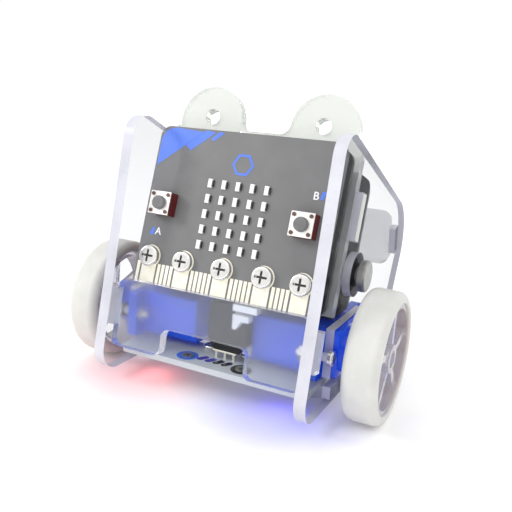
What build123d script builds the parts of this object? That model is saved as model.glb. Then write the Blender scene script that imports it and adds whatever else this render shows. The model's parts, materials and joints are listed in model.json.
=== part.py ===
from build123d import *
import os
from math import cos, pi, radians, sin

# Two-wheeled line follower robot on a frame of slotted acrylic plates.
# Millimetres, +Z up, the front faces -Y. The origin is on the ground, under the middle
# of the robot's outline.

# ---- Frame plates ----
SHEET = 3.0                 # acrylic sheet
INNER = 26.8                # middle plane to a side plate's inner face
OUTER = INNER + SHEET
FIT = 0.1                   # gap round a tab in its slot, and between plates
PLATE_FOOT = (-40.0, 3.1)   # side plate's front lower corner, Y and Z
PLATE_HEEL = (25.6, 3.1)    # side plate's back lower corner
FRONT_LEAN = 10.7           # degrees, side plates' front edge from upright
FRONT_EDGE = 69.8
TOP_DROP = 22.1             # degrees, side plates' top edge from level
TOP_EDGE = 76.05
PLATE_RADII = (6.0, 6.0, 14.0, 5.0)

FRONT_TOP = (-32.5, 27.8)   # front plate's upper front edge, Y and Z
FRONT_HEIGHT = 17.8
FRONT_TAB = (-12.4, -2.7)   # span of its tabs below that edge
NOTCH_HALF = 12.0
NOTCH_TOP = -10.6

BASE_Z = (4.3, 7.3)
BASE_Y = (-23.0, 22.6)
BASE_TABS = ((-21.5, -9.5), (4.0, 16.0))

BRACE_AT = (29.6, 36.9)     # back brace's centre, Y and Z
BRACE_LEAN = 15.5
BRACE_HEIGHT = 17.0
BRACE_TAB = 8.0

EAR_W = (-11.4, -8.4)       # ear plate, measured outward from the controller board's face
EAR_R = 9.4
EAR_AT = (16.5, 25.6)
EAR_HOLE = (16.2, 26.6)
EAR_HOLE_R = 2.2
EAR_BODY_V = (-20.5, 23.5)
EAR_TAB_V = (-1.0, 11.0)

# ---- Controller board, in its own plane: U across, V up the board, W outward ----
BOARD_LEAN = 16.4
BOARD_Y = -22.4
BOARD_Z = 46.9
BOARD_WIDTH = 51.6
BOARD_HEIGHT = 42.0
PCB = 1.6
PAD_PITCH = 1.27
PAD_COUNT = 40
RING_FIRST = (1, 9, 18, 27, 35)   # first pad position under each wide pad, four positions each
RING_U = tuple((first + 1.5 - (PAD_COUNT - 1) / 2) * PAD_PITCH for first in RING_FIRST)
RING_V = -14.1
LED_PITCH = 4.0
LED_V = -0.9
BUTTON_U = 19.85
BUTTON_V = -0.1
BUTTON_SIZE = 6.0
BUTTON_FACE = 3.6           # height of a button's metal face above the board
PLUNGER_R = 1.75
BORE_GAP = 0.05             # radial clearance of plungers and shafts

# ---- Driver board and battery box ----
DRIVER_W = (-6.6, -5.0)
DRIVER_V = (-21.0, 20.5)
DRIVER_NOTCH = (14.0, 9.0)  # half width and lower edge of the cut-out behind the sockets
EAR_SPACER_AT = ((-21.0, 16.0), (21.0, 16.0), (-21.0, -8.0), (21.0, -8.0))
BOX_HALF = 26.0
BOX_WALL = 1.2
BOX_LID_W = -22.9
BOX_SECTION = ((-21.3, -11.4), (16.5, -11.4), (16.5, -24.1), (-17.6, -24.1))
CELL_V = (-12.6, -1.8, 9.0)
CELL_W = -17.75
CELL_R = 5.1
SWITCH_AT = (-9.4, 33.9)    # power switch axis, Y and Z

# ---- Servos and wheels, along the axle ----
WHEEL_R = 16.6
AXLE_Y = -16.8
SERVO_X = (-6.1, 16.7)      # servo body, in front of and behind the axle
SERVO_HALF = 6.1
SERVO_Z = (8.4, 12.4, 26.8, 31.1, 35.1)   # cover, middle case, flange, roof, turret end
EAR_SCREWS = (-8.45, 19.05)
GEAR_MODULE = 0.4
OUTPUT_TEETH = 23
SMALL_TEETH = 9
LARGE_TEETH = 17
PINION_TEETH = 8
GEAR_PIN_X = GEAR_MODULE * (OUTPUT_TEETH + SMALL_TEETH) / 2
MOTOR_X = GEAR_PIN_X + GEAR_MODULE * (LARGE_TEETH + PINION_TEETH) / 2
SHAFT_R = 2.0
TYRE_Z = (35.0, 43.8)
RIM_R = (12.6, 13.9)
SPOKES = 5
SPOKE_Z = (39.8, 42.6)
HUB_Z = (40.8, 43.0)        # screw's seat and the hub's outer face

# ---- Underside ----
SENSOR_Y = (-31.9, -17.5)
SENSOR_HALF = 26.4
SENSOR_Z = (BASE_Z[1], BASE_Z[1] + PCB)
SENSOR_SCREWS = ((-5.6, -19.8), (5.6, -19.8))
EYELET_AT = ((-8.0, -27.7), (8.0, -27.7))
PIN_X = (-1.3, 1.24, 3.78)
PIN_Y = -24.1
OVAL_X = (-3.85, -1.4, 0.95, 3.3)
OVAL_Y = -26.9
OVAL_SIZE = (3.4, 1.8)
OVAL_TURN = 60
PLUG_Z = (11.7, 24.6)
CASTER_Y = 14.0
CASTER_R = 5.5
CASTER_SCREWS = ((-10.2, CASTER_Y), (10.2, CASTER_Y))
LIGHT_X = 19.0
LIGHT_Y = -26.2
SMALL_HOLE = 1.1            # radius of the small base screws' clearance holes


def leaning(origin_y, origin_z, lean):
    """Plane whose local x is +X, y runs up and back by the lean, and z points forward."""
    tilt = radians(lean)
    return Plane(origin=(0, origin_y, origin_z), x_dir=(1, 0, 0), z_dir=(0, -cos(tilt), sin(tilt)))


BOARD = leaning(BOARD_Y, BOARD_Z, BOARD_LEAN)
FRONT = leaning(FRONT_TOP[0], FRONT_TOP[1], FRONT_LEAN)
BRACE = leaning(BRACE_AT[0], BRACE_AT[1], -BRACE_LEAN)
AXLE = Plane(origin=(0, AXLE_Y, WHEEL_R), x_dir=(0, 1, 0), z_dir=(1, 0, 0))


def block(x, y, z):
    """Box between the low and high value on each axis."""
    centre = [(side[0] + side[1]) / 2 for side in (x, y, z)]
    return Pos(*centre) * Box(x[1] - x[0], y[1] - y[0], z[1] - z[0])


def post(radius, z, at=(0.0, 0.0)):
    """Upright cylinder between two heights."""
    return Pos(at[0], at[1], (z[0] + z[1]) / 2) * Cylinder(radius, z[1] - z[0])


def slab(outline, z):
    """Outline in the local XY plane, thickened between two heights."""
    return Pos(0, 0, z[0]) * extrude(outline, z[1] - z[0])


def rounded_block(x, y, z, radius):
    """Box with its upright edges rounded."""
    outline = RectangleRounded(x[1] - x[0], y[1] - y[0], radius)
    return slab(Pos((x[0] + x[1]) / 2, (y[0] + y[1]) / 2) * outline, z)


def both_sides(shape):
    """The shape and its mirror image across the middle plane."""
    return [shape, mirror(shape, about=Plane.YZ)]


def screw(head_r, head_h, shank_r, length):
    """Cross-head screw with its head's seat at z = 0, its shank pointing down."""
    head = post(head_r, (0, head_h))
    head = fillet(head.edges().group_by(Axis.Z)[-1], head_h * 0.4)
    reach = head_r * 0.6
    for angle in (0, 90):
        head -= Rot(0, 0, angle) * block((-reach, reach), (-0.3, 0.3), (head_h * 0.4, head_h))
    return head + post(shank_r, (-length, 0))


def nut(flats, bore_r, height):
    """Hexagon nut standing on z = 0."""
    return slab(RegularPolygon(flats / 2, 6, major_radius=False), (0, height)) - post(bore_r, (0, height))


# ---- Frame plates ----

def front_plate_outline(grow=0.0):
    """Front plate in its own plane, with its tabs grown when it cuts a slot."""
    low, high = FRONT_TAB
    tabs = Pos(0, (low + high) / 2) * Rectangle(2 * OUTER, high - low + 2 * grow)
    if grow:
        return tabs
    body = Pos(0, -FRONT_HEIGHT / 2) * Rectangle(2 * (INNER - FIT), FRONT_HEIGHT)
    notch_height = NOTCH_TOP + FRONT_HEIGHT
    body -= Pos(0, NOTCH_TOP - notch_height / 2) * Rectangle(2 * NOTCH_HALF, notch_height)
    body = fillet(body.vertices(), 2.0)
    return body + (tabs - Pos(0, (low + high) / 2) * Rectangle(2 * NOTCH_HALF + 8.0, high - low))


def front_plate(grow=0.0):
    return FRONT * slab(front_plate_outline(grow), (-SHEET - grow, grow))


def ear_plate(grow=0.0):
    """Carrier plate behind the boards, with two round ears on top."""
    low, high = EAR_TAB_V
    tabs = Pos(0, (low + high) / 2) * Rectangle(2 * OUTER, high - low + 2 * grow)
    span = (EAR_W[0] - grow, EAR_W[1] + grow)
    if grow:
        return BOARD * slab(tabs, span)
    middle = (EAR_BODY_V[0] + EAR_BODY_V[1]) / 2
    body = Pos(0, middle) * Rectangle(2 * (INNER - FIT), EAR_BODY_V[1] - EAR_BODY_V[0])
    for side in (-1, 1):
        body += Pos(side * EAR_AT[0], EAR_AT[1]) * Circle(EAR_R - FIT)
    valley = [v for v in body.vertices() if abs(v.X) < EAR_AT[0] and v.Y > 0]
    body = fillet(valley, 3.0) + tabs
    for side in (-1, 1):
        body -= Pos(side * EAR_HOLE[0], EAR_HOLE[1]) * Circle(EAR_HOLE_R)
    for at in EAR_SPACER_AT:
        body -= Pos(*at) * Circle(1.6)
    return BOARD * slab(body, span)


def base_plate(grow=0.0):
    """Floor plate with the caster's hole and the small screws' holes."""
    span = (BASE_Z[0] - grow, BASE_Z[1] + grow)
    tabs = [block((-OUTER, OUTER), (low - grow, high + grow), span) for low, high in BASE_TABS]
    if grow:
        return Part() + tabs
    plate = rounded_block((FIT - INNER, INNER - FIT), BASE_Y, span, 2.0) + tabs
    for at in SENSOR_SCREWS + CASTER_SCREWS:
        plate -= post(SMALL_HOLE, span, at)
    return plate - post(7.6, span, (0, CASTER_Y))


def back_brace(grow=0.0):
    """Upright panel that joins the side plates at the back."""
    tabs = Rectangle(2 * OUTER, BRACE_TAB + 2 * grow)
    span = (-SHEET / 2 - grow, SHEET / 2 + grow)
    if grow:
        return BRACE * slab(tabs, span)
    body = RectangleRounded(2 * (INNER - FIT), BRACE_HEIGHT, 3.0)
    return BRACE * slab(body + tabs, span)


def side_plate_right():
    """Right side plate: the leaning outline, with slots, servo opening and switch hole."""
    lean = radians(FRONT_LEAN)
    drop = radians(TOP_DROP)
    brow = (PLATE_FOOT[0] + FRONT_EDGE * sin(lean), PLATE_FOOT[1] + FRONT_EDGE * cos(lean))
    shoulder = (brow[0] + TOP_EDGE * cos(drop), brow[1] - TOP_EDGE * sin(drop))
    corners = (PLATE_FOOT, brow, shoulder, PLATE_HEEL)
    outline = make_face(FilletPolyline(*corners, radius=PLATE_RADII, close=True))
    plate = Plane.YZ * slab(outline, (INNER, OUTER))
    for slot in (front_plate(FIT), ear_plate(FIT), base_plate(FIT), back_brace(FIT)):
        plate -= slot
    gap = 2 * FIT
    ends = (SERVO_X[0] - gap, SERVO_X[1] + gap)
    opening = block(ends, (-SERVO_HALF - gap, SERVO_HALF + gap), (INNER, OUTER))
    plate -= AXLE * opening
    for x in EAR_SCREWS:
        plate -= AXLE * post(1.1, (INNER, OUTER), (x, 0))
    return plate


def side_plate_with_switch_hole():
    hole = Plane.YZ * post(5.75, (INNER, OUTER), SWITCH_AT)
    return side_plate_right() - hole


# ---- Controller board ----

def controller_board():
    board = slab(RectangleRounded(BOARD_WIDTH, BOARD_HEIGHT, 3.0), (-PCB, 0))
    for u in RING_U:
        board -= post(2.0, (-PCB, 0), (u, RING_V))
    return BOARD * board


def edge_contacts():
    """Gold pads along the lower edge: five wide ones round the ring holes, and narrow ones."""
    bottom = -BOARD_HEIGHT / 2
    thickness = (0, 0.05)
    wide_positions = {first + step for first in RING_FIRST for step in range(4)}
    pads = []
    for position in range(PAD_COUNT):
        if position in wide_positions:
            continue
        u = (position - (PAD_COUNT - 1) / 2) * PAD_PITCH
        pads.append(block((u - 0.45, u + 0.45), (bottom + 0.1, -15.8), thickness))
    for u in RING_U:
        pad = block((u - 2.2, u + 2.2), (bottom + 0.1, RING_V), thickness)
        pad += post(3.0, thickness, (u, RING_V))
        pads.append(pad - post(2.0, thickness, (u, RING_V)))
    return [BOARD * pad for pad in pads]


def led_matrix():
    """Five by five small light packages."""
    package = block((-0.6, 0.6), (-1.15, 1.15), (0, 0.6))
    package = chamfer(package.edges().group_by(Axis.Z)[-1], 0.12)
    steps = [LED_PITCH * (index - 2) for index in range(5)]
    return [BOARD * Pos(u, v + LED_V, 0) * package for u in steps for v in steps]


def controller_chips():
    """Processor, interface chip and motion sensor on the board's back."""
    places = (((-8.5, -2.5), (-3.0, 3.0), 0.9), ((3.0, 10.0), (-4.0, 3.0), 1.0), ((-20.0, -17.0), (7.0, 10.0), 0.8))
    return [BOARD * block(u, v, (-PCB - height, -PCB)) for u, v, height in places]


def usb_socket():
    """Small data socket on the back, its mouth at the board's top edge."""
    shell = rounded_block((-3.75, 3.75), (-PCB - 2.6, -PCB), (15.9, 21.6), 0.8)
    shell -= rounded_block((-3.35, 3.35), (-PCB - 2.25, -PCB - 0.35), (16.9, 21.6), 0.6)
    upright = Plane(origin=(0, 0, 0), x_dir=(1, 0, 0), z_dir=(0, 1, 0))
    flipped = upright * mirror(shell, about=Plane.XZ)
    return BOARD * flipped


def battery_socket():
    """Two-way white socket beside the data socket, open upwards."""
    socket = block((7.0, 13.0), (13.0, 20.0), (-PCB - 5.0, -PCB))
    socket -= block((7.8, 12.2), (14.2, 20.0), (-PCB - 4.2, -PCB - 0.8))
    return BOARD * socket


def button_body(u, v):
    """Square switch body with a metal face, four rivets and a bore for its plunger."""
    half = BUTTON_SIZE / 2
    body = block((-half, half), (-half, half), (0, BUTTON_FACE - 0.3))
    body += rounded_block((-half, half), (-half, half), (BUTTON_FACE - 0.3, BUTTON_FACE), 0.3)
    for x in (-2.2, 2.2):
        for y in (-2.2, 2.2):
            body += post(0.45, (BUTTON_FACE, BUTTON_FACE + 0.2), (x, y))
    body -= post(PLUNGER_R + BORE_GAP, (1.0, BUTTON_FACE), (0, 0))
    return BOARD * Pos(u, v, 0) * body


def button_plunger(u, v):
    plunger = post(PLUNGER_R, (1.5, BUTTON_FACE + 1.0))
    plunger = fillet(plunger.edges().group_by(Axis.Z)[-1], 0.3)
    return BOARD * Pos(u, v, 0) * plunger


def reset_button_body():
    """Low switch on the board's back, left of the data socket."""
    body = block((-12.0, -8.0), (15.5, 19.5), (-PCB - 1.6, -PCB))
    return BOARD * (body - post(1.0, (-PCB - 1.6, -PCB - 0.6), (-10.0, 17.5)))


def reset_button_plunger():
    return BOARD * post(1.0 - BORE_GAP, (-PCB - 2.2, -PCB - 0.9), (-10.0, 17.5))


def board_screws():
    """Five screws through the ring pads and four that hold the driver board to the ear plate."""
    part = screw(2.8, 1.7, 1.4, 7.2)
    screws = [BOARD * Pos(u, RING_V, 0.05) * part for u in RING_U]
    screws += [BOARD * Pos(u, v, DRIVER_W[1]) * part for u, v in EAR_SPACER_AT]
    return screws


def brass_spacers():
    """Five spacers between the boards and four between driver board and ear plate."""
    spacers = []
    for u in RING_U:
        at = (u, RING_V)
        spacers.append(post(2.4, (DRIVER_W[1], -PCB), at) - post(1.5, (DRIVER_W[1], -PCB), at))
    for at in EAR_SPACER_AT:
        span = (EAR_W[1], DRIVER_W[0])
        spacers.append(post(2.5, span, at) - post(1.55, span, at))
    return [BOARD * spacer for spacer in spacers]


# ---- Driver board and battery box ----

def driver_board():
    u = (-BOARD_WIDTH / 2, BOARD_WIDTH / 2)
    board = rounded_block(u, DRIVER_V, DRIVER_W, 3.0)
    half, bottom = DRIVER_NOTCH
    board -= block((-half, half), (bottom, DRIVER_V[1]), DRIVER_W)
    for at in [(u, RING_V) for u in RING_U]:
        board -= post(1.5, DRIVER_W, at)
    for at in EAR_SPACER_AT:
        board -= post(1.6, DRIVER_W, at)
    return BOARD * board


def servo_headers():
    """Two three-way headers for the servos, between the boards."""
    headers = []
    for side in (-1, 1):
        centre = side * 9.0
        strip = block((centre - 3.8, centre + 3.8), (-6.0, -3.5), (DRIVER_W[1], DRIVER_W[1] + 2.4))
        headers.append(BOARD * strip)
    return headers


def battery_section():
    return make_face(FilletPolyline(*BOX_SECTION, radius=(0.8, 1.5, 4.0, 2.5), close=True))


def battery_shell():
    """Closed box for three cells, before it is parted into box and lid."""
    outer = Plane.YZ * slab(battery_section(), (-BOX_HALF, BOX_HALF))
    inside = BOX_HALF - BOX_WALL
    cavity = Plane.YZ * slab(offset(battery_section(), -BOX_WALL), (-inside, inside))
    return outer - cavity


def battery_box():
    box = battery_shell() & block((-30, 30), (-30, 30), (BOX_LID_W, 0))
    for at in EAR_SPACER_AT:
        box -= post(1.45, (EAR_W[0] - BOX_WALL, EAR_W[0]), at)
    return BOARD * box


def battery_lid():
    return BOARD * (battery_shell() & block((-30, 30), (-30, 30), (-40, BOX_LID_W)))


def battery_cells():
    """Three small cells, alternately turned end for end."""
    cells = []
    for index, v in enumerate(CELL_V):
        cell = post(CELL_R, (-21.9, 21.4)) + post(1.9, (21.4, 22.5))
        lying = Plane.YZ * cell
        turned = lying if index % 2 == 0 else mirror(lying, about=Plane.YZ)
        cells.append(BOARD * Pos(0, v, CELL_W) * turned)
    return cells


def battery_contacts():
    """A sprung contact at each cell's flat end and a pressed one at its button end."""
    end = BOX_HALF - BOX_WALL
    pieces = []
    for index, v in enumerate(CELL_V):
        plate = block((end - 0.4, end), (-3.5, 3.5), (-3.5, 3.5))
        button = plate + Plane.YZ * post(1.5, (22.5, end - 0.4))
        cone = Cone(2.3, 3.4, 2.5) - Cone(1.9, 3.0, 2.5)
        spring = plate + Plane.YZ * Pos(0, 0, end - 0.4 - 1.25) * cone
        flipped = mirror(spring, about=Plane.YZ)
        pair = [button, flipped]
        if index % 2:
            pair = [mirror(piece, about=Plane.YZ) for piece in pair]
        pieces += [BOARD * Pos(0, v, CELL_W) * piece for piece in pair]
    return pieces


def power_switch_body():
    """Black bushing that stands out of the right side plate's hole."""
    body = post(4.5, (BOX_HALF, 28.6)) + post(3.1, (28.6, OUTER))
    body -= post(2.2 + BORE_GAP, (BOX_HALF + 0.4, OUTER))
    return Plane.YZ * Pos(*SWITCH_AT) * body


def power_button():
    cap = post(4.1, (30.9, 32.8))
    cap = fillet(cap.edges().group_by(Axis.Z)[-1], 0.5) + post(2.2, (27.4, 30.9))
    return Plane.YZ * Pos(*SWITCH_AT) * cap


# ---- Servos ----

def servo_outline(inset):
    width = SERVO_X[1] - SERVO_X[0] - 2 * inset
    centre = (SERVO_X[0] + SERVO_X[1]) / 2
    return Pos(centre, 0) * RectangleRounded(width, 2 * (SERVO_HALF - inset), 0.6)


def servo_cover():
    """Cover over the servo's inner end."""
    low, high = SERVO_Z[0], SERVO_Z[1]
    return AXLE * (slab(servo_outline(0), (low, high)) - slab(servo_outline(1.0), (low + 1.0, high)))


def servo_case():
    """Middle case with the two mounting ears and the deck under the gears."""
    low, high = SERVO_Z[1], SERVO_Z[2]
    case = slab(servo_outline(0), (low, high))
    case += rounded_block((-10.8, 21.4), (-SERVO_HALF, SERVO_HALF), (high - 2.5, high), 0.8)
    case -= slab(servo_outline(1.0), (low, 23.0))
    case -= slab(servo_outline(1.0), (24.0, high))
    for x in EAR_SCREWS:
        case -= post(1.05, (high - 2.5, high), (x, 0))
    case -= post(0.95, (23.0, 24.0))
    case -= post(0.62, (23.0, 24.0), (GEAR_PIN_X, 0))
    case -= post(0.9, (23.0, 24.0), (MOTOR_X, 0))
    return AXLE * case


def servo_top():
    """Gear cover with the round turret and the small turret over the gear pin."""
    low, high, end = SERVO_Z[2], SERVO_Z[3], SERVO_Z[4]
    top = slab(servo_outline(0), (low, high)) + post(5.9, (high, end))
    top += post(2.7, (high, end), (GEAR_PIN_X, 0))
    top -= slab(servo_outline(1.0), (low, high - 1.0))
    top -= post(SHAFT_R + BORE_GAP, (high - 1.0, end))
    top -= post(0.62, (high - 1.0, high + 0.5), (GEAR_PIN_X, 0))
    return AXLE * top


def servo_motor():
    can = post(4.2, (13.4, 22.6), (MOTOR_X, 0)) & block((0, 20), (-3.8, 3.8), (13, 23))
    return AXLE * (can - post(0.5 + BORE_GAP, (20.0, 22.6), (MOTOR_X, 0)))


def servo_circuit():
    return AXLE * block((-4.5, 15.0), (-4.6, 4.6), (9.8, 10.6))


def servo_gear_pin():
    return AXLE * post(0.6, (23.2, 31.6), (GEAR_PIN_X, 0))


def gear(teeth, z, first_tooth=True):
    """Spur gear with a tooth, or else a gap, pointing along local +x."""
    pitch_r = GEAR_MODULE * teeth / 2
    tip_r = pitch_r + 0.85 * GEAR_MODULE
    root_r = pitch_r - 1.2 * GEAR_MODULE
    step = 2 * pi / teeth
    turn = 0.0 if first_tooth else step / 2
    points = []
    for tooth in range(teeth):
        middle = turn + tooth * step
        for radius, share in ((root_r, -0.32), (tip_r, -0.12), (tip_r, 0.12), (root_r, 0.32)):
            angle = middle + share * step
            points.append((radius * cos(angle), radius * sin(angle)))
    return slab(make_face(Polyline(*points, close=True)), z)


def servo_pinion():
    """Motor shaft with its pinion; a gap faces the double gear."""
    teeth = Rot(0, 0, 180) * gear(PINION_TEETH, (24.4, 26.2), first_tooth=False)
    return AXLE * Pos(MOTOR_X, 0, 0) * (teeth + post(0.5, (20.4, 24.4)))


def servo_double_gear():
    """Large gear driven by the pinion, small gear driving the output."""
    pair = gear(LARGE_TEETH, (24.6, 26.0))
    pair += Rot(0, 0, 180) * gear(SMALL_TEETH, (26.0, 28.6), first_tooth=False)
    return AXLE * Pos(GEAR_PIN_X, 0, 0) * (pair - post(0.6 + BORE_GAP, (24.6, 28.6)))


def servo_output():
    """Output gear and its shaft, which carries the wheel."""
    shaft = gear(OUTPUT_TEETH, (26.5, 28.5)) + post(SHAFT_R, (24.6, 35.3))
    shaft += post(0.9, (23.4, 24.6)) + post(2.4, (35.3, 38.7))
    return AXLE * (shaft - post(1.0, (36.0, 38.7)))


def servo_screws():
    part = AXLE * Pos(0, 0, OUTER) * screw(1.9, 1.3, 0.95, 8.0)
    return [Pos(0, x, 0) * part for x in EAR_SCREWS]


def servo_nuts():
    flange = SERVO_Z[2] - 2.5
    part = AXLE * Pos(0, 0, flange - 1.6) * nut(4.0, 1.0, 1.6)
    return [Pos(0, x, 0) * part for x in EAR_SCREWS]


# ---- Wheels ----

def wheel_rim():
    """Clear rim with a hub, five tapered spokes and a ring."""
    ring = post(RIM_R[1], (35.4, 43.2)) - post(RIM_R[0], (35.4, 43.2))
    rim = ring + post(3.6, (35.6, HUB_Z[1]))
    spoke_outline = make_face(Polyline((3.0, -0.7), (13.0, -1.2), (13.0, 1.2), (3.0, 0.7), close=True))
    spoke = slab(spoke_outline, SPOKE_Z)
    for index in range(SPOKES):
        rim += Rot(0, 0, 90 + index * 360 / SPOKES) * spoke
    rim -= post(2.4 + BORE_GAP, (35.6, 39.0))
    rim -= post(1.1, (39.0, HUB_Z[0]))
    rim -= post(2.2, HUB_Z)
    return AXLE * rim


def wheel_tyre():
    """Soft tyre with round shoulders."""
    width = TYRE_Z[1] - TYRE_Z[0]
    section = Pos((RIM_R[1] + WHEEL_R) / 2, 0) * Rectangle(WHEEL_R - RIM_R[1], width)
    section = fillet(section.vertices().group_by(Axis.X)[-1], 2.1)
    section = fillet(section.vertices().group_by(Axis.X)[0], 0.5)
    tyre = revolve(Plane.XZ * section, Axis.Z)
    return AXLE * Pos(0, 0, TYRE_Z[0] + width / 2) * tyre


def wheel_screw():
    return AXLE * Pos(0, 0, HUB_Z[0]) * screw(1.9, 1.3, 0.9, 3.8)


# ---- Underside ----

def sensor_board():
    """Board on top of the base plate, standing out in front of it."""
    board = rounded_block((-SENSOR_HALF, SENSOR_HALF), SENSOR_Y, SENSOR_Z, 1.5)
    for at in SENSOR_SCREWS:
        board -= post(SMALL_HOLE, SENSOR_Z, at)
    for at in EYELET_AT:
        board -= post(1.3, SENSOR_Z, at)
    for x in OVAL_X:
        board -= Pos(x, OVAL_Y, 0) * slab(SlotOverall(*OVAL_SIZE, rotation=OVAL_TURN), SENSOR_Z)
    for x in PIN_X:
        board -= block((x - 0.35, x + 0.35), (PIN_Y - 0.35, PIN_Y + 0.35), SENSOR_Z)
    return board


def sensor_eyelets():
    """Plated eyelets set in the board's two front holes."""
    eyelets = []
    for at in EYELET_AT:
        flange = post(1.7, (SENSOR_Z[1], SENSOR_Z[1] + 0.3), at)
        bore = post(0.8, (SENSOR_Z[0], SENSOR_Z[1] + 0.3), at)
        eyelets.append(flange + post(1.25, SENSOR_Z, at) - bore)
    return eyelets


def infrared_sensors():
    under = SENSOR_Z[0]
    package = block((-1.8, 1.8), (-1.6, 1.6), (under - 1.6, under))
    for x in (-0.8, 0.8):
        package -= post(0.5, (under - 1.6, under - 1.1), (x, 0))
    return [Pos(x, OVAL_Y + 0.3, 0) * package for x in (-12.0, -4.0, 4.0, 12.0)]


def colour_light(side):
    under = SENSOR_Z[0]
    light = rounded_block((-2.5, 2.5), (-2.5, 2.5), (under - 1.4, under), 0.3)
    light -= post(1.9, (under - 1.4, under - 0.9))
    return Pos(side * LIGHT_X, LIGHT_Y, 0) * light


def sensor_contacts():
    """Black contact pads that fill the board's oval slots."""
    oval = SlotOverall(OVAL_SIZE[0] - 0.1, OVAL_SIZE[1] - 0.1, rotation=OVAL_TURN)
    bush = slab(oval, SENSOR_Z)
    return [Pos(x, OVAL_Y, 0) * bush for x in OVAL_X]


def sensor_header():
    """Three pins through the board, joined by a strip under the plug."""
    span = (PLUG_Z[0] - 0.6, PLUG_Z[0])
    header = block((PIN_X[0] - 0.6, PIN_X[-1] + 1.0), (PIN_Y - 1.2, PIN_Y + 1.2), span)
    for x in PIN_X:
        pin = block((x - 0.32, x + 0.32), (PIN_Y - 0.32, PIN_Y + 0.32), (6.6, 20.0))
        header += chamfer(pin.edges().group_by(Axis.Z)[-1], 0.15)
    return header


def sensor_plug():
    """Black plug pushed part of the way down onto the header's pins."""
    low, high = PLUG_Z
    left = ((-1.6, low), (-3.0, low + 2.2), (-3.0, high))
    right = ((8.2, high), (8.2, low + 2.4), (5.8, low))
    outline = make_face(Polyline(*left, *right, close=True))
    plug = Plane.XZ * slab(outline, (-PIN_Y - 3.3, -PIN_Y + 1.5))
    for x in PIN_X:
        plug -= block((x - 0.4, x + 0.4), (PIN_Y - 0.4, PIN_Y + 0.4), (low, 20.5))
    return plug


def sensor_connector():
    """White two-step connector on the plug's front, near its right-hand edge."""
    depth = (-PIN_Y + 1.5, -PIN_Y + 3.9)
    upper = Rectangle(6.6, 1.7)
    step = ((5.0, 23.2), (9.4, 23.2), (9.4, 21.6), (7.4, 21.6), (6.0, 19.4), (5.0, 19.4))
    lower = make_face(Polyline(*step, close=True))
    return [Plane.XZ * slab(outline, depth) for outline in (Pos(8.2, 25.0) * upper, lower)]


def base_screws():
    part = screw(1.9, 1.3, 1.0, 4.3)
    screws = [Pos(x, y, SENSOR_Z[1]) * part for x, y in SENSOR_SCREWS]
    screws += [Pos(x, y, BASE_Z[1] + 2.0) * part for x, y in CASTER_SCREWS]
    return screws


def caster_housing():
    """Flanged cup on the base plate that keeps the ball from falling out."""
    cup = post(7.3, (3.0, 12.6), (0, CASTER_Y))
    span = (BASE_Z[1], BASE_Z[1] + 2.0)
    flange = rounded_block((-13.2, 13.2), (CASTER_Y - 3.5, CASTER_Y + 3.5), span, 3.2)
    housing = cup + flange - Pos(0, CASTER_Y, CASTER_R) * Sphere(CASTER_R + 0.06)
    for at in CASTER_SCREWS:
        housing -= post(SMALL_HOLE, span, at)
    return housing


def caster_ball():
    return Pos(0, CASTER_Y, CASTER_R) * Sphere(CASTER_R)


def write(name, pieces):
    """Write one node: a single solid, or a group of separate ones."""
    shape = Compound(children=list(pieces)) if isinstance(pieces, (list, tuple)) else pieces
    export_step(shape, f"parts/{name}.step")


def write_pair(name, shape):
    """Write a right-hand piece and its left-hand mirror image as two nodes."""
    right, left = both_sides(shape)
    write(name.replace("SIDE", "right"), right)
    write(name.replace("SIDE", "left"), left)


os.makedirs("parts", exist_ok=True)

write("side_plate_left", mirror(side_plate_right(), about=Plane.YZ))
write("side_plate_right", side_plate_with_switch_hole())
write("front_plate", front_plate())
write("ear_plate", ear_plate())
write("base_plate", base_plate())
write("back_brace", back_brace())

write("controller_board", controller_board())
write("edge_contacts", edge_contacts())
write("led_matrix", led_matrix())
write("controller_chips", controller_chips())
write("usb_socket", usb_socket())
write("battery_socket", battery_socket())
face_buttons = [button_body(side * BUTTON_U, BUTTON_V) for side in (-1, 1)]
write("button_bodies", face_buttons + [reset_button_body()])
write("button_a_plunger", button_plunger(-BUTTON_U, BUTTON_V))
write("button_b_plunger", button_plunger(BUTTON_U, BUTTON_V))
write("reset_button_plunger", reset_button_plunger())
write("board_screws", board_screws())
write("brass_spacers", brass_spacers())

write("driver_board", driver_board())
write("servo_headers", servo_headers())
write("battery_box", battery_box())
write("battery_lid", battery_lid())
write("battery_cells", battery_cells())
write("battery_contacts", battery_contacts())
write("power_switch_body", power_switch_body())
write("power_button", power_button())

write_pair("servo_SIDE_cover", servo_cover())
write_pair("servo_SIDE_case", servo_case())
write_pair("servo_SIDE_top", servo_top())
write_pair("servo_SIDE_pinion", servo_pinion())
write_pair("servo_SIDE_double_gear", servo_double_gear())
write_pair("servo_SIDE_output", servo_output())
write("servo_motors", both_sides(servo_motor()))
write("servo_circuits", both_sides(servo_circuit()))
write("servo_gear_pins", both_sides(servo_gear_pin()))
write("servo_screws", [piece for part in servo_screws() for piece in both_sides(part)])
write("servo_nuts", [piece for part in servo_nuts() for piece in both_sides(part)])

write_pair("wheel_SIDE_rim", wheel_rim())
write_pair("wheel_SIDE_tyre", wheel_tyre())
write_pair("wheel_SIDE_screw", wheel_screw())

write("sensor_board", sensor_board())
write("sensor_eyelets", sensor_eyelets())
write("infrared_sensors", infrared_sensors())
write("colour_lights", [colour_light(side) for side in (-1, 1)])
write("sensor_contacts", sensor_contacts())
write("sensor_header", sensor_header())
write("sensor_plug", sensor_plug())
write("sensor_connector", sensor_connector())
write("base_screws", base_screws())
write("caster_housing", caster_housing())
write("caster_ball", caster_ball())
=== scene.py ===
import json
from math import cos, pi, radians, sin

import bmesh
import bpy
from mathutils import Matrix, Vector


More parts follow.
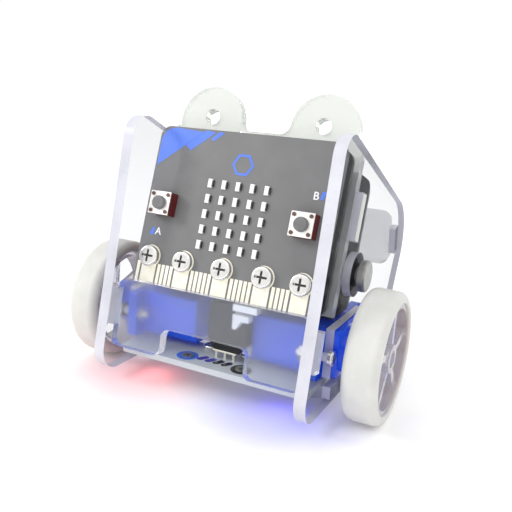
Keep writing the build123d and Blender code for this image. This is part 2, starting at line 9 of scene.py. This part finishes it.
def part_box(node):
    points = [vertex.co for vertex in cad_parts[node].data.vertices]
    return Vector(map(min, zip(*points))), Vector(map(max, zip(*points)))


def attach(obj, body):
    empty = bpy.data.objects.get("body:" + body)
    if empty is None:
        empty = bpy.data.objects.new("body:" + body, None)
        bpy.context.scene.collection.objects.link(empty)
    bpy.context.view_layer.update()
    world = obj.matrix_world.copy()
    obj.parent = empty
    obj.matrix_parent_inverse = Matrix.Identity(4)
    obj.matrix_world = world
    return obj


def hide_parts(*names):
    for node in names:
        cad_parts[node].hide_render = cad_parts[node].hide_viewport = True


# Looks of a two-wheeled line follower robot. Metres, +Z up, the front faces -Y.
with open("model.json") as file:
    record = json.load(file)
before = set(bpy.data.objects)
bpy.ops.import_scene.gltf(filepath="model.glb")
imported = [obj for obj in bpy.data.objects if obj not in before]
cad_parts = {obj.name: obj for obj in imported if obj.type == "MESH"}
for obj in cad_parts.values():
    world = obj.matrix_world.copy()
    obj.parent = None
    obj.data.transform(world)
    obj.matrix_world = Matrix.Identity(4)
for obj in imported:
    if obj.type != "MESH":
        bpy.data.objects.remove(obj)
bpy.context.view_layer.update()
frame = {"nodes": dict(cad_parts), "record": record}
NODES = frame["nodes"]
SLOTS = {part["node"]: part["material_slot"] for part in frame["record"]["subparts"]}
MM = 0.001

# ---- Sizes in millimetres ----
PRINT = (0.005, 0.045)      # printed ink above a board's face
LIGHT_PITCH = 4.0
BUTTON_AT = ((-19.85, -0.1), (19.85, -0.1))
BUTTON_FACE = 3.28          # height of a push switch's metal face
RIVET_REACH = 2.2
CONTACT_PITCH = 1.27
RING_SCREWS = (1, 9, 18, 27, 35)    # first contact under each ring screw
EYELET_FLANGE = 1.7
OVAL_PITCH = 2.38
FLOOR_HALF = 6000

# ---- Camera ----
CAMERA_AT = (0.07424, -0.16570, 0.07512)
CAMERA_RIGHT = Vector((0.89620, 0.43795, 0.07087))
CAMERA_UP = Vector((-0.16393, 0.17846, 0.97019))
CAMERA_LENS = 45.69

# ---- The controller board's own plane: u across, v up the board, w outward from its face ----
BOARD_LEAN = radians(16.4)
ACROSS = Vector((1, 0, 0))
UP_BOARD = Vector((0, sin(BOARD_LEAN), cos(BOARD_LEAN)))
OUTWARD = Vector((0, -cos(BOARD_LEAN), sin(BOARD_LEAN)))
PCB = 1.6 * MM


def middle(node):
    """Centre of a CAD node's box."""
    low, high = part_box(node)
    return (low + high) / 2


BOARD_CENTRE = middle("controller_board") + OUTWARD * PCB / 2
BOARD_TURN = Matrix((ACROSS, UP_BOARD, OUTWARD)).transposed().to_4x4()
BOARD_FRAME = Matrix.Translation(BOARD_CENTRE) @ BOARD_TURN


# ---- Node helpers ----

def new_material(name):
    mat = bpy.data.materials.new(name)
    mat.use_nodes = True
    return mat, mat.node_tree, mat.node_tree.nodes["Principled BSDF"]


def node(tree, kind, **settings):
    made = tree.nodes.new(kind)
    for key, value in settings.items():
        setattr(made, key, value)
    return made


def place(tree):
    """Object coordinates, which at rest are the frame's own metres."""
    return node(tree, "ShaderNodeTexCoord").outputs["Object"]


def noise(tree, scale_per_mm, detail=3.0, roughness=0.5, stretch=(1, 1, 1)):
    """Noise with its size given in waves per millimetre."""
    mapping = node(tree, "ShaderNodeMapping")
    mapping.inputs["Scale"].default_value = [1000 * scale_per_mm * s for s in stretch]
    tree.links.new(place(tree), mapping.inputs["Vector"])
    made = node(tree, "ShaderNodeTexNoise")
    made.inputs["Scale"].default_value = 1.0
    made.inputs["Detail"].default_value = detail
    made.inputs["Roughness"].default_value = roughness
    tree.links.new(mapping.outputs["Vector"], made.inputs["Vector"])
    return made.outputs["Fac"]


def ranged(tree, value, low, high):
    """Stretches a 0.3 to 0.7 noise to low and high."""
    made = node(tree, "ShaderNodeMapRange")
    made.inputs["From Min"].default_value = 0.3
    made.inputs["From Max"].default_value = 0.7
    made.inputs["To Min"].default_value = low
    made.inputs["To Max"].default_value = high
    tree.links.new(value, made.inputs["Value"])
    return made.outputs["Result"]


def two_tone(tree, factor, first, second):
    """Colour mixed between two by a factor."""
    mix = node(tree, "ShaderNodeMix", data_type="RGBA")
    mix.inputs["A"].default_value = (*first, 1)
    mix.inputs["B"].default_value = (*second, 1)
    tree.links.new(factor, mix.inputs["Factor"])
    return mix.outputs["Result"]


def add_bump(tree, shader, height, strength, distance_mm):
    bump = node(tree, "ShaderNodeBump")
    bump.inputs["Strength"].default_value = strength
    bump.inputs["Distance"].default_value = distance_mm * MM
    tree.links.new(height, bump.inputs["Height"])
    tree.links.new(bump.outputs["Normal"], shader.inputs["Normal"])


def surface(name, dark, light, rough, grain, bump, metallic=0.0, stretch=(1, 1, 1), ior=1.5):
    """Opaque material with mottled colour, mottled roughness and a fine grain."""
    mat, tree, shader = new_material(name)
    soft = noise(tree, grain * 0.3, 4.0, stretch=stretch)
    tree.links.new(two_tone(tree, ranged(tree, soft, 0, 1), dark, light), shader.inputs["Base Color"])
    fine = noise(tree, grain * 3, 5.0, stretch=stretch)
    tree.links.new(ranged(tree, fine, *rough), shader.inputs["Roughness"])
    add_bump(tree, shader, fine, bump, 0.05)
    shader.inputs["Metallic"].default_value = metallic
    shader.inputs["IOR"].default_value = ior
    return mat


def let_light_through(mat, tint):
    """Lets lamps and bounced light pass a glassy material, so what is behind it stays lit."""
    tree = mat.node_tree
    shader = tree.nodes["Principled BSDF"]
    path = node(tree, "ShaderNodeLightPath")
    either = node(tree, "ShaderNodeMath", operation="MAXIMUM")
    for index, ray in enumerate(("Is Shadow Ray", "Is Diffuse Ray")):
        tree.links.new(path.outputs[ray], either.inputs[index])
    clear = node(tree, "ShaderNodeBsdfTransparent")
    clear.inputs["Color"].default_value = (*tint, 1)
    mix = node(tree, "ShaderNodeMixShader")
    tree.links.new(either.outputs[0], mix.inputs[0])
    tree.links.new(shader.outputs[0], mix.inputs[1])
    tree.links.new(clear.outputs[0], mix.inputs[2])
    tree.links.new(mix.outputs[0], tree.nodes["Material Output"].inputs["Surface"])


def clear_plastic(name, tint, shade, rough=(0.02, 0.06), weight=1.0, grain=0.4, ior=1.49):
    """See-through plastic; weight below 1 leaves the rest as milky haze."""
    mat, tree, shader = new_material(name)
    shader.inputs["Base Color"].default_value = (*tint, 1)
    shader.inputs["Transmission Weight"].default_value = weight
    shader.inputs["IOR"].default_value = ior
    scuffs = noise(tree, grain, 6.0, 0.6)
    tree.links.new(ranged(tree, scuffs, *rough), shader.inputs["Roughness"])
    let_light_through(mat, shade)
    return mat


# ---- Materials ----

# Darker colour, lighter colour, roughness range, grain, bump, and on metals how metallic.
OPAQUE = {
    # Cut edges: real edge faces, given an opaque light bluish gray as painted light, for light bounced
    # inside the clear sheets.
    "cut_edge_painted_light": ((0.50, 0.50, 0.56), (0.66, 0.66, 0.72), (0.25, 0.4), 0.25, 0.1),
    "gray_board": ((0.150, 0.150, 0.153), (0.172, 0.172, 0.175), (0.42, 0.54), 0.5, 0.05),
    "black_board": ((0.03, 0.03, 0.033), (0.05, 0.05, 0.055), (0.3, 0.45), 0.5, 0.06),
    "white_board": ((0.50, 0.53, 0.56), (0.54, 0.57, 0.60), (0.35, 0.5), 0.5, 0.05),
    "white_plastic": ((0.8, 0.8, 0.8), (0.88, 0.88, 0.88), (0.3, 0.42), 0.8, 0.05),
    "gray_plastic": ((0.13, 0.13, 0.132), (0.18, 0.18, 0.182), (0.35, 0.5), 1.5, 0.15),
    "white_gear": ((0.78, 0.78, 0.75), (0.85, 0.85, 0.82), (0.35, 0.45), 1.0, 0.05),
    "cell_wrap": ((0.02, 0.16, 0.10), (0.03, 0.22, 0.14), (0.2, 0.3), 0.5, 0.03),
    "white_tyre": ((0.60, 0.575, 0.55), (0.66, 0.635, 0.61), (0.5, 0.62), 0.6, 0.12),
    "gold": ((0.93, 0.88, 0.72), (0.99, 0.96, 0.84), (0.28, 0.4), 2.0, 0.05, 0.75),
    "steel": ((0.72, 0.71, 0.69), (0.85, 0.84, 0.82), (0.16, 0.3), 2.0, 0.05, 1.0),
    "satin_steel": ((0.24, 0.24, 0.235), (0.32, 0.32, 0.31), (0.28, 0.4), 2.0, 0.05, 0.6),
    "brass_metal": ((0.72, 0.55, 0.28), (0.86, 0.70, 0.42), (0.22, 0.36), 2.0, 0.05, 1.0),
    "ball_steel": ((0.6, 0.6, 0.6), (0.7, 0.7, 0.7), (0.06, 0.14), 1.0, 0.02, 1.0),
}


def see_through():
    """The sheets, rims and servo cases that light passes."""
    return [
        clear_plastic(
            "clear_acrylic", (0.73, 0.735, 0.75), (0.90, 0.905, 0.93), rough=(0.04, 0.08), ior=1.04
        ),
        clear_plastic(
            "gray_acrylic", (0.58, 0.58, 0.595), (0.80, 0.80, 0.81), rough=(0.05, 0.10), ior=1.06
        ),
        clear_plastic(
            "frosted_acrylic", (0.93, 0.95, 1.0), (0.84, 0.86, 0.90), (0.22, 0.27), 0.94, 0.6, 1.3
        ),
        clear_plastic(
            "milky_acrylic", (0.80, 0.82, 0.78), (0.72, 0.75, 0.72), rough=(0.08, 0.16), weight=0.5
        ),
        clear_plastic(
            "clear_rim", (0.80, 0.785, 0.82), (0.93, 0.92, 0.96), weight=0.75, ior=1.3
        ),
        clear_plastic(
            "blue_clear", (0.03, 0.17, 1.0), (0.15, 0.25, 0.95), rough=(0.05, 0.12), weight=0.5
        ),
    ]


def make_materials():
    """One material for each slot of the record, and one for the sheets' cut edges, whose light gray is
    painted light.
    """
    made = {name: surface(name, *look) for name, look in OPAQUE.items()}
    made["black_plastic"] = surface(
        "black_plastic", (0.022, 0.022, 0.024), (0.036, 0.036, 0.038), (0.5, 0.65), 1.5, 0.15, ior=1.16
    )
    drawn = (0.1, 1, 1)
    made["motor_can"] = surface(
        "motor_can", (0.55, 0.55, 0.55), (0.7, 0.7, 0.7), (0.3, 0.42), 1.0, 0.05, 1.0, drawn
    )
    tyre = made["white_tyre"].node_tree.nodes["Principled BSDF"]
    tyre.inputs["Subsurface Weight"].default_value = 0.15
    for mat in [*see_through(), switch_shell(), lit_lens()]:
        made[mat.name.split(".")[0]] = mat
    return made


def plane_height(tree, origin, direction):
    """Distance of a point from a plane, in millimetres, along its direction."""
    shift = node(tree, "ShaderNodeVectorMath", operation="SUBTRACT")
    shift.inputs[1].default_value = origin
    tree.links.new(place(tree), shift.inputs[0])
    along = node(tree, "ShaderNodeVectorMath", operation="DOT_PRODUCT")
    along.inputs[1].default_value = direction * 1000
    tree.links.new(shift.outputs["Vector"], along.inputs[0])
    return along.outputs["Value"]


def above(tree, value, threshold):
    step = node(tree, "ShaderNodeMath", operation="GREATER_THAN")
    step.inputs[1].default_value = threshold
    tree.links.new(value, step.inputs[0])
    return step.outputs[0]


def switch_shell():
    """Push switch: dark red-black moulding under a bright metal face."""
    mat, tree, shader = new_material("switch_shell")
    face = above(tree, plane_height(tree, BOARD_CENTRE, OUTWARD), BUTTON_FACE)
    colour = two_tone(tree, face, (0.10, 0.003, 0.004), (0.9, 0.88, 0.85))
    tree.links.new(colour, shader.inputs["Base Color"])
    tree.links.new(face, shader.inputs["Metallic"])
    grain = noise(tree, 3.0, 4.0)
    tree.links.new(ranged(tree, grain, 0.28, 0.42), shader.inputs["Roughness"])
    add_bump(tree, shader, grain, 0.05, 0.03)
    return mat


def lit_lens():
    """Light package: glows red on the left and blue on the right."""
    mat, tree, shader = new_material("lit_lens")
    shader.inputs["Base Color"].default_value = (0.85, 0.85, 0.85, 1)
    right = above(tree, plane_height(tree, Vector((0, 0, 0)), ACROSS), 0.0)
    colour = two_tone(tree, right, (1.0, 0.04, 0.03), (0.06, 0.03, 1.0))
    tree.links.new(colour, shader.inputs["Emission Color"])
    shader.inputs["Emission Strength"].default_value = 1.5
    grain = noise(tree, 2.0, 3.0)
    tree.links.new(ranged(tree, grain, 0.25, 0.4), shader.inputs["Roughness"])
    return mat


def dress_frame(materials):
    """Gives each CAD node the material of its record slot."""
    for name, thing in NODES.items():
        mat = materials[SLOTS[name]]
        if not thing.material_slots:
            thing.data.materials.append(mat)
        for holder in thing.material_slots:
            holder.material = mat


# ---- Side plates ----

def cut_sheet(name, across, materials):
    """Stands in for a CAD sheet: the same shape, with opaque light gray on its cut edges, painted
    light that stands in for light bounced inside the clear sheet.
    """
    mesh = NODES[name].data.copy()
    mesh.materials.clear()
    mesh.materials.append(materials[SLOTS[name]])
    mesh.materials.append(materials["cut_edge_painted_light"])
    for face in mesh.polygons:
        face.material_index = 0 if abs(face.normal.dot(across)) > 0.9 else 1
    piece = bpy.data.objects.new(name + "_sheet", mesh)
    bpy.context.scene.collection.objects.link(piece)
    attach(piece, "chassis")
    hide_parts(name)


# ---- Detail pieces, built in millimetres in a frame of their own ----

def plain(name, colour, rough=(0.4, 0.5), metallic=0.0):
    """Print, moulding or painted shade of one colour, with slight mottling."""
    dark = [c * 0.94 for c in colour]
    light = [min(1.0, c * 1.06) for c in colour]
    return surface(name, dark, light, rough, 1.0, 0.05, metallic)


def new_piece(name, frame_of, build, mat):
    """Mesh piece riding on the chassis; build fills a bmesh in millimetres."""
    bm = bmesh.new()
    build(bm)
    bmesh.ops.transform(bm, matrix=frame_of @ Matrix.Scale(MM, 4), verts=bm.verts)
    bmesh.ops.recalc_face_normals(bm, faces=bm.faces)
    mesh = bpy.data.meshes.new(name)
    bm.to_mesh(mesh)
    bm.free()
    piece = bpy.data.objects.new(name, mesh)
    bpy.context.scene.collection.objects.link(piece)
    mesh.materials.append(mat)
    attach(piece, "chassis")
    return piece


def add_prism(bm, outline, low, high):
    """Prism on a simple outline."""
    bottom = [bm.verts.new((x, y, low)) for x, y in outline]
    top = [bm.verts.new((x, y, high)) for x, y in outline]
    bm.faces.new(list(reversed(bottom)))
    bm.faces.new(top)
    for index in range(len(outline)):
        after = (index + 1) % len(outline)
        bm.faces.new((bottom[index], bottom[after], top[after], top[index]))


def add_ring(bm, centre, outer, inner, low, high, sides=48):
    """Flat ring, or a polygon ring with few sides."""
    loops = []
    for radius, z in ((outer, low), (outer, high), (inner, high), (inner, low)):
        angles = [2 * pi * k / sides for k in range(sides)]
        rim = [(centre[0] + radius * cos(a), centre[1] + radius * sin(a), z) for a in angles]
        loops.append([bm.verts.new(point) for point in rim])
    for first, second in zip(loops, loops[1:] + loops[:1]):
        for k in range(sides):
            after = (k + 1) % sides
            bm.faces.new((first[k], first[after], second[after], second[k]))


def rectangle(u, v):
    return [(u[0], v[0]), (u[1], v[0]), (u[1], v[1]), (u[0], v[1])]


def disc(centre, radius, sides=24):
    angles = [2 * pi * k / sides for k in range(sides)]
    return [(centre[0] + radius * cos(a), centre[1] + radius * sin(a)) for a in angles]


def board_print():
    """Generic blue bars, a hexagon, marks by the labels, and the labels."""
    blue = plain("print_blue", (0.085, 0.19, 0.74))
    white = plain("print_white", (0.86, 0.87, 0.9))
    bars = (
        [(-25.3, 10.2), (-12.8, 20.2), (-21.4, 20.7), (-24.2, 19.8), (-25.3, 17.4)],
        [(-15.9, 15.0), (-9.3, 20.3), (-12.1, 20.7), (-17.6, 16.3)],
        [(-9.6, 18.0), (-6.8, 20.3), (-8.1, 20.7), (-10.4, 18.7)],
        [(-23.4, -8.4), (-22.2, -8.4), (-21.9, -6.4), (-22.6, -6.4)],
        [(22.0, 6.7), (22.7, 6.7), (23.5, 8.7), (22.3, 8.7)],
    )

    def build(bm):
        for bar in bars:
            add_prism(bm, bar, *PRINT)
        add_ring(bm, (0.1, 12.8), 3.1, 2.4, *PRINT, sides=6)

    new_piece("board_print_blue", BOARD_FRAME, build, blue)
    for label, at in (("A", (-20.8, -8.2)), ("B", (20.9, 6.6))):
        add_letter(label, at, white)


def add_letter(label, at, mat):
    """Plain letter by a button, made as real mesh."""
    curve = bpy.data.curves.new("letter_" + label, "FONT")
    curve.body = label
    curve.size = 2.75
    curve.align_x = "CENTER"
    curve.extrude = 0.02
    curve.offset = 0.03
    holder = bpy.data.objects.new("letter_" + label, curve)
    bpy.context.scene.collection.objects.link(holder)
    shaped = holder.evaluated_get(bpy.context.evaluated_depsgraph_get())
    mesh = bpy.data.meshes.new_from_object(shaped)
    bpy.data.objects.remove(holder)
    mesh.transform(BOARD_FRAME @ Matrix.Scale(MM, 4) @ Matrix.Translation((*at, 0.03)))
    piece = bpy.data.objects.new("label_" + label, mesh)
    bpy.context.scene.collection.objects.link(piece)
    mesh.materials.clear()
    mesh.materials.append(mat)
    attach(piece, "chassis")


def light_painted_shadows():
    """Painted shadow: a dark block on the right side of each light package, standing in for its shade.
    """
    def build(bm):
        for column in range(-2, 3):
            for row in range(-2, 3):
                u = LIGHT_PITCH * column
                v = LIGHT_PITCH * row - 0.9
                add_prism(bm, rectangle((u + 0.6, u + 1.0), (v - 0.8, v + 0.8)), 0.0, 0.5)

    # Near-black painted shadow beside each light package.
    new_piece("light_painted_shadows", BOARD_FRAME, build, plain("painted_shadow_black", (0.012, 0.012, 0.013)))


def button_rivets():
    """Dark heads of the four rivets at each button's corners."""
    def build(bm):
        for u, v in BUTTON_AT:
            for side in (-RIVET_REACH, RIVET_REACH):
                for level in (-RIVET_REACH, RIVET_REACH):
                    add_prism(bm, disc((u + side, v + level), 0.5), 3.6, 3.83)

    brown = plain("rivet_brown", (0.13, 0.075, 0.06), (0.3, 0.4), 0.4)
    new_piece("button_rivets", BOARD_FRAME, build, brown)


def recess_shades():
    """Painted shade: dark cross-shaped prisms in the bottoms of the cross recesses of the five ring
    screws.
    """
    def build(bm):
        for first in RING_SCREWS:
            u = (first - 18.0) * CONTACT_PITCH
            add_prism(bm, rectangle((u - 1.5, u + 1.5), (-14.36, -13.84)), 0.74, 0.84)
            add_prism(bm, rectangle((u - 0.26, u + 0.26), (-15.6, -12.6)), 0.745, 0.85)

    dark = plain("recess_painted_shade", (0.06, 0.055, 0.05), (0.4, 0.5), 0.3)
    new_piece("recess_shades", BOARD_FRAME, build, dark)


def sensor_rings():
    """Printed rings round the sensor board's two eyelets, blue on the left and black on the right."""
    low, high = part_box("sensor_eyelets")
    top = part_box("sensor_board")[1].z / MM
    centre_y = (low.y + high.y) / 2 / MM
    reach = high.x / MM - EYELET_FLANGE
    for name, side, colour in (("blue", -1, (0.06, 0.16, 0.62)), ("black", 1, (0.02, 0.02, 0.024))):
        def build(bm):
            add_ring(bm, (side * reach, centre_y), 2.9, 1.72, top + 0.005, top + 0.05)

        new_piece("sensor_ring_" + name, Matrix.Identity(4), build, plain("ring_" + name, colour))


def slanted_oval(centre, length, width, turn, sides=12):
    """Outline of a slot with round ends, turned in its plane."""
    points = []
    for end in (0, 1):
        for k in range(sides + 1):
            angle = -pi / 2 + pi * k / sides + pi * end
            shift = (0.5 - end) * (length - width)
            points.append((shift + width / 2 * cos(angle), width / 2 * sin(angle)))
    across, up = Vector((cos(turn), sin(turn))), Vector((-sin(turn), cos(turn)))
    return [Vector(centre) + x * across + y * up for x, y in points]


def contact_glaze():
    """Glossy slanted ovals over the four contact slots, two violet and two black."""
    low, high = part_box("sensor_contacts")
    centre_y = (low.y + high.y) / 2 / MM
    first = (low.x + high.x) / 2 / MM - 1.5 * OVAL_PITCH
    glaze = (high.z / MM + 0.005, high.z / MM + 0.05)
    for name, start, colour in (("violet", 0, (0.09, 0.07, 0.40)), ("black", 2, (0.02, 0.02, 0.024))):
        def build(bm):
            for index in (start, start + 1):
                at = (first + OVAL_PITCH * index, centre_y)
                add_prism(bm, slanted_oval(at, 3.5, 1.6, radians(60)), *glaze)

        gloss = plain("glaze_" + name, colour, (0.15, 0.3))
        new_piece("contact_glaze_" + name, Matrix.Identity(4), build, gloss)


def lid_ridges():
    """Grip ridges moulded across the middle of the battery lid."""
    corners = [BOARD_FRAME.inverted() @ v.co / MM for v in NODES["battery_lid"].data.vertices]
    face = min(c.z for c in corners)
    outer = [c for c in corners if c.z < face + 0.05]
    middle_v = (min(c.y for c in outer) + max(c.y for c in outer)) / 2

    def build(bm):
        for index in range(-3, 4):
            v = middle_v + 2.0 * index
            half = 9.0 - 0.5 * abs(index)
            add_prism(bm, rectangle((-half, half), (v - 0.4, v + 0.4)), face - 0.35, face + 0.1)

    ridges = new_piece("battery_lid_ridges", BOARD_FRAME, build, MATERIALS["black_plastic"])
    round_off = ridges.modifiers.new("round_off", "BEVEL")
    round_off.width = 0.15 * MM
    round_off.segments = 2


# ---- Stage ----

def painted_glow(tree, colour, centre, tint):
    """Paints a pool of coloured light: multiplies a colour by a tint that fades out round a point on
    the floor.
    """
    shift = node(tree, "ShaderNodeVectorMath", operation="SUBTRACT")
    shift.inputs[1].default_value = centre
    tree.links.new(place(tree), shift.inputs[0])
    flat = node(tree, "ShaderNodeVectorMath", operation="MULTIPLY")
    flat.inputs[1].default_value = (1.0, 1.25, 1.0)
    tree.links.new(shift.outputs["Vector"], flat.inputs[0])
    away = node(tree, "ShaderNodeVectorMath", operation="LENGTH")
    tree.links.new(flat.outputs["Vector"], away.inputs[0])
    fade = node(tree, "ShaderNodeMapRange", interpolation_type="SMOOTHERSTEP")
    fade.inputs["From Min"].default_value = 2 * MM
    fade.inputs["From Max"].default_value = 32 * MM
    fade.inputs["To Min"].default_value = 1.0
    fade.inputs["To Max"].default_value = 0.0
    tree.links.new(away.outputs["Value"], fade.inputs["Value"])
    mix = node(tree, "ShaderNodeMix", data_type="RGBA", blend_type="MULTIPLY")
    tree.links.new(fade.outputs["Result"], mix.inputs["Factor"])
    tree.links.new(colour, mix.inputs["A"])
    mix.inputs["B"].default_value = (*tint, 1)
    return mix.outputs["Result"]


def stage():
    """Pale floor with painted red and blue pools of light, and a soft key light."""
    mat, tree, shader = new_material("floor_paper")
    grain = noise(tree, 0.2, 4.0)
    paper = two_tone(tree, ranged(tree, grain, 0, 1), (0.93, 0.93, 0.93), (0.95, 0.95, 0.95))
    low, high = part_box("colour_lights")
    # Painted red and blue pools of light on the floor paper, round the two colour lights.
    for x, shift, tint in ((low.x, -3, (1.0, 0.74, 0.76)), (high.x, -3, (0.66, 0.66, 1.0))):
        near = Vector((x + shift * MM, low.y - 3 * MM, 0))
        paper = painted_glow(tree, paper, near, tint)
    tree.links.new(paper, shader.inputs["Base Color"])
    shader.inputs["Roughness"].default_value = 0.9
    shader.inputs["Specular IOR Level"].default_value = 0.1
    shader.inputs["Emission Color"].default_value = (1, 1, 1, 1)
    shader.inputs["Emission Strength"].default_value = 0.08
    mesh = bpy.data.meshes.new("floor")
    half = FLOOR_HALF * MM
    corners = [(x, y, 0) for x, y in rectangle((-half, half), (-half, half))]
    mesh.from_pydata(corners, [], [(0, 1, 2, 3)])
    floor = bpy.data.objects.new("floor", mesh)
    bpy.context.scene.collection.objects.link(floor)
    mesh.materials.append(mat)

    add_area("key", (-0.50, -0.36, 0.36), 0.16, 1.5)


def studio():
    """White surroundings, brighter overhead than at the horizon."""
    world = bpy.data.worlds.new("studio")
    bpy.context.scene.world = world
    world.use_nodes = True
    tree = world.node_tree
    direction = node(tree, "ShaderNodeTexCoord").outputs["Generated"]
    split = node(tree, "ShaderNodeSeparateXYZ")
    tree.links.new(direction, split.inputs[0])
    height = node(tree, "ShaderNodeMapRange", interpolation_type="SMOOTHSTEP")
    height.inputs["From Min"].default_value = 0.2
    height.inputs["From Max"].default_value = 0.9
    height.inputs["To Min"].default_value = 1.02
    height.inputs["To Max"].default_value = 1.32
    tree.links.new(split.outputs["Z"], height.inputs["Value"])
    tree.links.new(height.outputs["Result"], tree.nodes["Background"].inputs["Strength"])
    tree.nodes["Background"].inputs["Color"].default_value = (1, 1, 1, 1)


def add_area(name, place_at, size, power):
    lamp = bpy.data.lights.new(name, "AREA")
    lamp.size = size
    lamp.energy = power
    holder = bpy.data.objects.new(name, lamp)
    holder.location = place_at
    aim = Vector((0, 0, 0.03)) - Vector(place_at)
    holder.rotation_euler = aim.to_track_quat("-Z", "Y").to_euler()
    bpy.context.scene.collection.objects.link(holder)


def underglow():
    """Coloured light thrown on the floor by the two lights under the front."""
    low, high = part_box("colour_lights")
    for side, colour in ((-1, (1.0, 0.10, 0.08)), (1, (0.10, 0.06, 1.0))):
        lamp = bpy.data.lights.new("glow_left" if side < 0 else "glow_right", "POINT")
        lamp.color = colour
        lamp.energy = 0.0004
        lamp.shadow_soft_size = 0.002
        holder = bpy.data.objects.new(lamp.name, lamp)
        x = high.x - 2.5 * MM if side > 0 else low.x + 2.5 * MM
        holder.location = (x, (low.y + high.y) / 2, low.z - 0.7 * MM)
        bpy.context.scene.collection.objects.link(holder)


def camera():
    """Camera in front, to the right and above, looking slightly down."""
    data = bpy.data.cameras.new("camera")
    data.sensor_width = 36.0
    data.lens = CAMERA_LENS
    data.clip_start = 0.01
    data.clip_end = 50
    holder = bpy.data.objects.new("camera", data)
    back = CAMERA_RIGHT.cross(CAMERA_UP)
    turn = Matrix((CAMERA_RIGHT, CAMERA_UP, back)).transposed().to_4x4()
    holder.matrix_world = Matrix.Translation(CAMERA_AT) @ turn
    bpy.context.scene.collection.objects.link(holder)
    bpy.context.scene.camera = holder
    bpy.context.scene.view_settings.view_transform = "Standard"


camera()
stage()
studio()
underglow()
MATERIALS = make_materials()
dress_frame(MATERIALS)
for plate in ("side_plate_left", "side_plate_right"):
    cut_sheet(plate, ACROSS, MATERIALS)
board_print()
light_painted_shadows()
button_rivets()
sensor_rings()
contact_glaze()
recess_shades()
lid_ridges()
